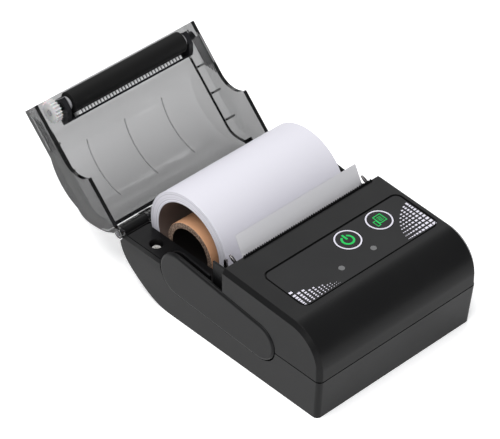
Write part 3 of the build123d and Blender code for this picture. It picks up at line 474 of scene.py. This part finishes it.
def round_masks(finish, middle_y, middle_z, end_limit, bore_radius):
    """Distance from a round piece's axis, and masks of its cut ends and of its bore."""
    nodes = finish.node_tree.nodes
    links = finish.node_tree.links
    place = nodes.new("ShaderNodeTexCoord")
    centre = nodes.new("ShaderNodeMapping")
    centre.inputs["Location"].default_value = (0, -middle_y, -middle_z)
    flat = nodes.new("ShaderNodeVectorMath")
    flat.operation = "MULTIPLY"
    flat.inputs[1].default_value = (0, 1, 1)
    reach = nodes.new("ShaderNodeVectorMath")
    reach.operation = "LENGTH"
    facing = nodes.new("ShaderNodeNewGeometry")
    split = nodes.new("ShaderNodeSeparateXYZ")
    side = math_node(nodes, "ABSOLUTE")
    on_end = math_node(nodes, "GREATER_THAN", end_limit)
    inside = math_node(nodes, "LESS_THAN", bore_radius)
    links.new(place.outputs["Object"], centre.inputs["Vector"])
    links.new(centre.outputs["Vector"], flat.inputs[0])
    links.new(flat.outputs["Vector"], reach.inputs[0])
    links.new(facing.outputs["True Normal"], split.inputs["Vector"])
    links.new(split.outputs["X"], side.inputs[0])
    links.new(side.outputs["Value"], on_end.inputs[0])
    links.new(reach.outputs["Value"], inside.inputs[0])
    return reach.outputs["Value"], on_end.outputs["Value"], inside.outputs["Value"]


def thermal_paper(name, colour):
    """Coated paper with a very fine fibre grain."""
    finish = grained_plastic(name, colour, 0.55, grain=0.0004, bump=0.012, mottle=0.012)
    finish.node_tree.nodes["Principled BSDF"].inputs["Specular IOR Level"].default_value = 0.25
    return finish


def wind_paper(finish):
    """Adds rings of turns on the end faces, and the bore's dark brown, partly painted shade."""
    nodes = finish.node_tree.nodes
    links = finish.node_tree.links
    shader = nodes["Principled BSDF"]
    plain = shader.inputs["Base Color"].links[0].from_socket
    reach, on_end, inside = round_masks(finish, 0.026, 0.0251, 0.7, 0.0158)
    turns = nodes.new("ShaderNodeTexNoise")
    turns.noise_dimensions = "1D"
    turns.inputs["Scale"].default_value = 2600.0
    turns.inputs["Detail"].default_value = 2.0
    shade = nodes.new("ShaderNodeMapRange")
    shade.inputs["From Min"].default_value = 0.35
    shade.inputs["From Max"].default_value = 0.62
    shade.inputs["To Min"].default_value = 0.62
    shade.inputs["To Max"].default_value = 1.0
    ringed = nodes.new("ShaderNodeMix")
    ringed.data_type = "RGBA"
    ringed.blend_type = "MULTIPLY"
    off_end = math_node(nodes, "SUBTRACT", 1.0, slot_number=0)
    in_bore = math_node(nodes, "MULTIPLY")
    # Painted shade: the bore is coloured a dark brown, the first turns' brown darkened for the shade
    # inside it.
    bore_shade_mix = nodes.new("ShaderNodeMix")
    bore_shade_mix.data_type = "RGBA"
    bore_shade_mix.inputs["B"].default_value = (0.15, 0.115, 0.10, 1)
    links.new(reach, turns.inputs["W"])
    links.new(turns.outputs["Fac"], shade.inputs["Value"])
    links.new(on_end, ringed.inputs["Factor"])
    links.new(plain, ringed.inputs["A"])
    links.new(shade.outputs["Result"], ringed.inputs["B"])
    links.new(on_end, off_end.inputs[1])
    links.new(inside, in_bore.inputs[0])
    links.new(off_end.outputs["Value"], in_bore.inputs[1])
    links.new(in_bore.outputs["Value"], bore_shade_mix.inputs["Factor"])
    links.new(ringed.outputs["Result"], bore_shade_mix.inputs["A"])
    links.new(bore_shade_mix.outputs["Result"], shader.inputs["Base Color"])


wound_paper = thermal_paper("wound_paper", (0.69, 0.68, 0.735))
wind_paper(wound_paper)
moulded("paper_roll", wound_paper, 0.00015)
loose_paper = thermal_paper("loose_paper", (0.70, 0.695, 0.715))
free_end = moulded("paper_web", loose_paper, 0)
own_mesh(free_end)

# Cardboard core
# A spirally wound tube of brown board, lying loose in the hollow roll. Its cut end is rough and
# greyish, and its bore is painted nearly black as painted shade inside the tube.
board_tube = grained_plastic(
    "brown_tube_board", (0.68, 0.36, 0.20), 0.8, grain=0.0005, bump=0.2, mottle=0.3
)
tube_nodes = board_tube.node_tree.nodes
tube_links = board_tube.node_tree.links
tube_shader = tube_nodes["Principled BSDF"]
tube_skin = tube_shader.inputs["Base Color"].links[0].from_socket
_, tube_end, tube_inside = round_masks(board_tube, 0.0255, 0.0212, 0.75, 0.00905)
tube_place = tube_nodes.new("ShaderNodeTexCoord")
tube_speckle = tube_nodes.new("ShaderNodeTexNoise")
tube_speckle.inputs["Scale"].default_value = 1500.0
tube_speckle.inputs["Detail"].default_value = 3.0
tube_cut = tube_nodes.new("ShaderNodeValToRGB")
tube_cut.color_ramp.elements[0].position = 0.38
tube_cut.color_ramp.elements[0].color = (0.10, 0.07, 0.055, 1)
tube_cut.color_ramp.elements[1].position = 0.66
tube_cut.color_ramp.elements[1].color = (0.34, 0.24, 0.18, 1)
tube_mix = tube_nodes.new("ShaderNodeMix")
tube_mix.data_type = "RGBA"
# Painted shade: the tube's bore is coloured nearly black for the shade inside it.
tube_bore_shade = tube_nodes.new("ShaderNodeMix")
tube_bore_shade.data_type = "RGBA"
tube_bore_shade.inputs["B"].default_value = (0.012, 0.01, 0.009, 1)
tube_links.new(tube_place.outputs["Object"], tube_speckle.inputs["Vector"])
tube_links.new(tube_speckle.outputs["Fac"], tube_cut.inputs["Fac"])
tube_links.new(tube_end, tube_mix.inputs["Factor"])
tube_links.new(tube_skin, tube_mix.inputs["A"])
tube_links.new(tube_cut.outputs["Color"], tube_mix.inputs["B"])
tube_links.new(tube_inside, tube_bore_shade.inputs["Factor"])
tube_links.new(tube_mix.outputs["Result"], tube_bore_shade.inputs["A"])
tube_links.new(tube_bore_shade.outputs["Result"], tube_shader.inputs["Base Color"])
moulded("paper_core", board_tube, 0.0003)


# Print on the film, and painted shade round its edge
# White rings round the keys and green signs on them, screen-printed on the key caps. A thin near-black
# ring round the film is painted shade: it stands for the shadowed gap between the film and the wall of
# its recess.
def print_ink(name, colour):
    """Screen-printing ink: flat, with a faintly uneven edge-to-edge tone."""
    return grained_plastic(name, colour, 0.45, grain=0.0003, bump=0.01, mottle=0.05)


top_rear_height = 38.0
top_rear_y = -3.8
slope = math.atan2(1.5, 33.0)
film_below_top = 0.13


def on_film(x, y):
    """Matrix from flat print, in millimetres, to its place on the film, in metres."""
    height = top_rear_height - (top_rear_y - y) * math.tan(slope) - film_below_top
    to_place = Matrix.Translation((x / 1000, y / 1000, height / 1000))
    return to_place @ Matrix.Rotation(slope, 4, "X") @ Matrix.Scale(0.001, 4)


def printed_shape(name, outlines, ink, x, y, body):
    """Thin flat print with the given closed outlines; an outline inside another is a hole."""
    curve = bpy.data.curves.new(name, "CURVE")
    curve.dimensions = "2D"
    curve.fill_mode = "BOTH"
    curve.extrude = 0.008
    for outline in outlines:
        spline = curve.splines.new("POLY")
        spline.points.add(len(outline) - 1)
        for point, (u, v) in zip(spline.points, outline):
            point.co = (u, v, 0, 1)
        spline.use_cyclic_u = True
    drawing = bpy.data.objects.new(name + "_drawing", curve)
    bpy.context.collection.objects.link(drawing)
    evaluated = drawing.evaluated_get(bpy.context.evaluated_depsgraph_get())
    mesh = bpy.data.meshes.new_from_object(evaluated)
    bpy.data.objects.remove(drawing)
    mesh.name = name
    mesh.transform(on_film(x, y))
    mesh.materials.clear()
    mesh.materials.append(ink)
    print_piece = bpy.data.objects.new(name, mesh)
    bpy.context.collection.objects.link(print_piece)
    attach(print_piece, body)


def round_outline(radius, start=0.0, end=360.0, count=72):
    """Points on an arc about the origin."""
    return [
        (
            radius * math.cos(math.radians(start + (end - start) * step / count)),
            radius * math.sin(math.radians(start + (end - start) * step / count)),
        )
        for step in range(count + (0 if end - start == 360.0 else 1))
    ]


def frame_outline(left, right, low, high):
    """Corners of a rectangle."""
    return [(left, low), (right, low), (right, high), (left, high)]


def rounded_frame(length, depth, radius):
    """Outline of a rectangle with round corners about the origin."""
    outline = []
    for quarter, (side_x, side_y) in enumerate(((1, 1), (-1, 1), (-1, -1), (1, -1))):
        middle_x = side_x * (length / 2 - radius)
        middle_y = side_y * (depth / 2 - radius)
        corner = round_outline(radius, 90 * quarter, 90 * quarter + 90.001, 8)
        outline += [(middle_x + u, middle_y + v) for u, v in corner]
    return outline


# Painted shade: a near-black ring at the film's edge stands for the shadowed gap round the film.
film_gap_shade = grained_plastic("film_gap_shade", (0.0012, 0.0012, 0.0012), 0.6, bump=0.01, sheen=0.03)
border = [rounded_frame(64.2, 21.0, 2.8), rounded_frame(63.5, 20.3, 2.45)]
printed_shape("film_edge_shade", border, film_gap_shade, 2.7, -24.9, "base")
white_ink = print_ink("white_ink", (0.72, 0.70, 0.78))
green_ink = print_ink("green_ink", (0.015, 0.52, 0.10))
power_at = (5.0, -20.7)
feed_at = (20.3, -20.5)
for name, place, body in (("power_ring", power_at, "power_key"), ("feed_ring", feed_at, "feed_key")):
    printed_shape(name, [round_outline(4.95), round_outline(4.4)], white_ink, *place, body)
outer_arc = round_outline(2.55, 118, 422)
inner_arc = round_outline(1.75, 118, 422)
printed_shape("power_sign_arc", [outer_arc + inner_arc[::-1]], green_ink, *power_at, "power_key")
bar = frame_outline(-0.4, 0.4, 0.25, 3.0)
printed_shape("power_sign_bar", [bar], green_ink, *power_at, "power_key")
page = [frame_outline(-1.1, 2.5, -1.6, 2.4), frame_outline(-0.75, 2.15, -1.25, 2.05)]
printed_shape("feed_sign_page", page, green_ink, *feed_at, "feed_key")
slip = [frame_outline(-2.6, -1.1, -2.3, 0.6), frame_outline(-2.3, -1.4, -2.0, 0.3)]
printed_shape("feed_sign_slip", slip, green_ink, *feed_at, "feed_key")
for row in range(4):
    low = -0.75 + 0.62 * row
    printed_shape(
        f"feed_sign_line_{row}",
        [frame_outline(-0.25, 1.65, low, low + 0.26)],
        green_ink,
        *feed_at,
        "feed_key",
    )

# Fans of dots
# Two half-tone fans in the front corners of the film. The dots crowd together and shrink
# along one edge of each fan, and its sloping edge ends on the smallest of them.
dot_tree = bpy.data.node_groups.new("dot_fan", "GeometryNodeTree")
for socket_name, kind, value in (
    ("Width", "NodeSocketFloat", 17.0),
    ("Depth", "NodeSocketFloat", 7.0),
    ("Columns", "NodeSocketInt", 14),
    ("Rows", "NodeSocketInt", 7),
    ("Crowding Across", "NodeSocketFloat", 1.5),
    ("Crowding Along", "NodeSocketFloat", 0.7),
    ("Corner Dot", "NodeSocketFloat", 0.6),
    ("Loss Across", "NodeSocketFloat", 0.85),
    ("Loss Along", "NodeSocketFloat", -0.8),
    ("Ink", "NodeSocketMaterial", None),
):
    socket = dot_tree.interface.new_socket(socket_name, in_out="INPUT", socket_type=kind)
    if value is not None:
        socket.default_value = value
dot_tree.interface.new_socket("Geometry", in_out="OUTPUT", socket_type="NodeSocketGeometry")
dots = dot_tree.nodes
joins = dot_tree.links
given = dots.new("NodeGroupInput")
grid = dots.new("GeometryNodeMeshGrid")
joins.new(given.outputs["Width"], grid.inputs["Size X"])
joins.new(given.outputs["Depth"], grid.inputs["Size Y"])
joins.new(given.outputs["Columns"], grid.inputs["Vertices X"])
joins.new(given.outputs["Rows"], grid.inputs["Vertices Y"])
where = dots.new("GeometryNodeInputPosition")
parts = dots.new("ShaderNodeSeparateXYZ")
joins.new(where.outputs["Position"], parts.inputs["Vector"])


def dot_math(operation, first, second):
    """Arithmetic on two sockets or numbers in the dot tree."""
    node = dots.new("ShaderNodeMath")
    node.operation = operation
    for slot_number, value in enumerate((first, second)):
        if isinstance(value, (int, float)):
            node.inputs[slot_number].default_value = value
        else:
            joins.new(value, node.inputs[slot_number])
    return node.outputs["Value"]


def dot_crowded(share, crowding, length):
    """Place along an edge, closer to its far end when the crowding is above one."""
    eased = dot_math("POWER", dot_math("SUBTRACT", 1.0, share), given.outputs[crowding])
    return dot_math("MULTIPLY", dot_math("SUBTRACT", 0.5, eased), given.outputs[length])


across = dot_math("ADD", dot_math("DIVIDE", parts.outputs["X"], given.outputs["Width"]), 0.5)
along = dot_math("ADD", dot_math("DIVIDE", parts.outputs["Y"], given.outputs["Depth"]), 0.5)
outside = dot_math("GREATER_THAN", dot_math("ADD", across, along), 1.04)
trimmed = dots.new("GeometryNodeDeleteGeometry")
trimmed.domain = "POINT"
joins.new(grid.outputs["Mesh"], trimmed.inputs["Geometry"])
joins.new(outside, trimmed.inputs["Selection"])
left_across = dot_math("SUBTRACT", 1.0, dot_math("MULTIPLY", across, given.outputs["Loss Across"]))
left_along = dot_math("SUBTRACT", 1.0, dot_math("MULTIPLY", along, given.outputs["Loss Along"]))
dot_share = dot_math("MULTIPLY", left_across, left_along)
dot_size = dot_math("MULTIPLY", dot_share, given.outputs["Corner Dot"])
kept = dots.new("GeometryNodeCaptureAttribute")
kept.domain = "POINT"
kept.capture_items.new("FLOAT", "size")
joins.new(trimmed.outputs["Geometry"], kept.inputs["Geometry"])
joins.new(dot_size, kept.inputs["size"])
moved = dots.new("ShaderNodeCombineXYZ")
joins.new(dot_crowded(across, "Crowding Across", "Width"), moved.inputs["X"])
joins.new(dot_crowded(along, "Crowding Along", "Depth"), moved.inputs["Y"])
spaced = dots.new("GeometryNodeSetPosition")
joins.new(kept.outputs["Geometry"], spaced.inputs["Geometry"])
joins.new(moved.outputs["Vector"], spaced.inputs["Position"])
dot_points = dots.new("GeometryNodeMeshToPoints")
joins.new(spaced.outputs["Geometry"], dot_points.inputs["Mesh"])
dot = dots.new("GeometryNodeMeshCube")
dot.inputs["Size"].default_value = (1.0, 1.0, 0.016)
placed = dots.new("GeometryNodeInstanceOnPoints")
joins.new(dot_points.outputs["Points"], placed.inputs["Points"])
joins.new(dot.outputs["Mesh"], placed.inputs["Instance"])
sizes = dots.new("ShaderNodeCombineXYZ")
joins.new(kept.outputs["size"], sizes.inputs["X"])
joins.new(dot_math("MULTIPLY", kept.outputs["size"], 0.72), sizes.inputs["Y"])
sizes.inputs["Z"].default_value = 1.0
joins.new(sizes.outputs["Vector"], placed.inputs["Scale"])
real = dots.new("GeometryNodeRealizeInstances")
joins.new(placed.outputs["Instances"], real.inputs["Geometry"])
inked = dots.new("GeometryNodeSetMaterial")
joins.new(real.outputs["Geometry"], inked.inputs["Geometry"])
joins.new(given.outputs["Ink"], inked.inputs["Material"])
result = dots.new("NodeGroupOutput")
joins.new(inked.outputs["Geometry"], result.inputs["Geometry"])


def dot_fan(name, values, corner_x, corner_y, turn):
    """Fan of dots with its square corner at a place on the film."""
    mesh = grown_mesh(name, dot_tree, values)
    spread = Matrix.Translation((values["Width"] / 2, values["Depth"] / 2, 0))
    mesh.transform(on_film(corner_x, corner_y) @ turn @ spread)
    if turn.determinant() < 0:
        mesh.flip_normals()
    fan = bpy.data.objects.new(name, mesh)
    bpy.context.collection.objects.link(fan)
    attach(fan, "base")


left_fan = {
    "Width": 16.5,
    "Depth": 7.2,
    "Columns": 13,
    "Rows": 7,
    "Crowding Across": 1.5,
    "Crowding Along": 0.75,
    "Corner Dot": 0.75,
    "Loss Across": 0.88,
    "Loss Along": -0.75,
    "Ink": white_ink,
}
dot_fan("left_dot_fan", left_fan, -28.2, -34.3, Matrix.Identity(4))
right_fan = {
    "Width": 12.5,
    "Depth": 13.5,
    "Columns": 11,
    "Rows": 11,
    "Crowding Across": 1.6,
    "Crowding Along": 1.3,
    "Corner Dot": 1.5,
    "Loss Across": 0.85,
    "Loss Along": 0.45,
    "Ink": white_ink,
}
dot_fan("right_dot_fan", right_fan, 33.5, -34.1, Matrix.Scale(-1, 4, (1, 0, 0)))
